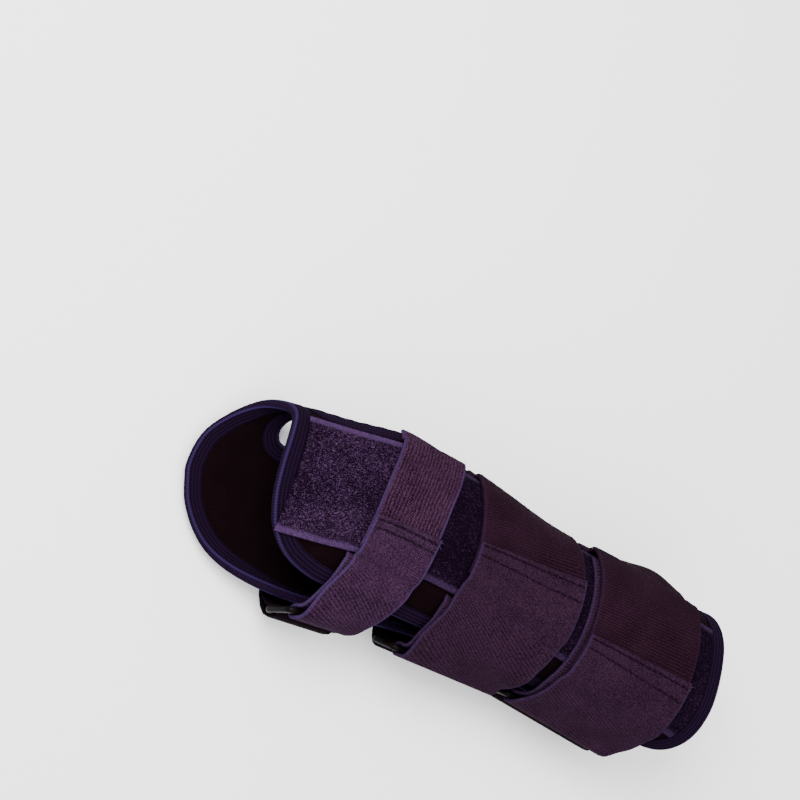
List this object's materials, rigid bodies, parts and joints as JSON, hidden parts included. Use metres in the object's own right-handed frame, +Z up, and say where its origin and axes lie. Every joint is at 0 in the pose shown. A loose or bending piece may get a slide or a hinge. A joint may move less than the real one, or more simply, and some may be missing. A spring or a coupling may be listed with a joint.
{
  "type": "wrist and forearm splint",
  "caption": "Dark fabric wrist and forearm splint for a right hand: padded wrap with a thumb opening, looped by wide straps through rings along the little-finger side.",
  "frame": {"origin": "middle of the underside, on the surface that the splint lies on", "axes": "+X along the forearm towards the elbow, +Y towards the thumb side, +Z up, out of the palm side"},
  "size_m": [0.2278, 0.089, 0.0641],
  "materials": {
    "wrap": "matt brushed padded fabric, almost black plum",
    "binding": "matt ribbed folded tape",
    "pile": "loop pile",
    "elastic": "matt woven elastic",
    "tab": "matt woven tape with fine cross ribs",
    "webbing": "matt thin webbing",
    "plastic": "semi-gloss black moulded plastic"
  },
  "bodies": {
    "root": {"splint_body": "wrap", "edge_binding": "binding", "thumb_binding": "binding", "loop_tape": "pile", "strap_palm_elastic": "elastic", "strap_palm_tab": "tab", "ring_palm": "plastic", "ring_holder_palm": "webbing", "strap_wrist_elastic": "elastic", "strap_wrist_tab": "tab", "ring_wrist": "plastic", "ring_holder_wrist": "webbing", "strap_forearm_elastic": "elastic", "strap_forearm_tab": "tab", "ring_forearm": "plastic", "ring_holder_forearm": "webbing"}
  },
  "joints": []
}
